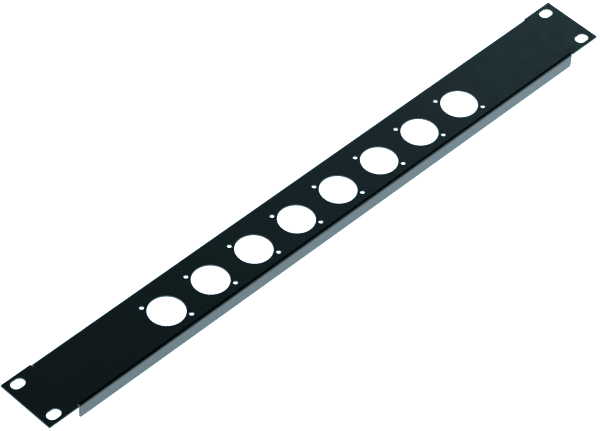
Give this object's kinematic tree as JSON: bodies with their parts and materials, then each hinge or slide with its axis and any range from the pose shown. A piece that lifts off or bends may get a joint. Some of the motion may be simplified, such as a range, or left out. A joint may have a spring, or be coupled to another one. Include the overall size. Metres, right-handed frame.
{
  "type": "audio patch bay panel",
  "caption": "Unloaded one-unit 19-inch rack panel: folded black sheet steel with flanges, slotted ears and a row of round connector cut-outs with diagonal screw holes.",
  "frame": {"origin": "middle of the footprint, on the plane of the flanges' rear edges, with the panel lying face up", "axes": "+X along the panel to the right as seen from the front, +Y towards the edge that is uppermost in a rack, +Z out of the front face"},
  "size_m": [0.4826, 0.0436, 0.0116],
  "materials": {
    "powder_coat": "semi-gloss black powder coat with a fine orange-peel texture"
  },
  "bodies": {
    "root": {"front_plate": "powder_coat", "upper_flange": "powder_coat", "lower_flange": "powder_coat"}
  },
  "joints": []
}
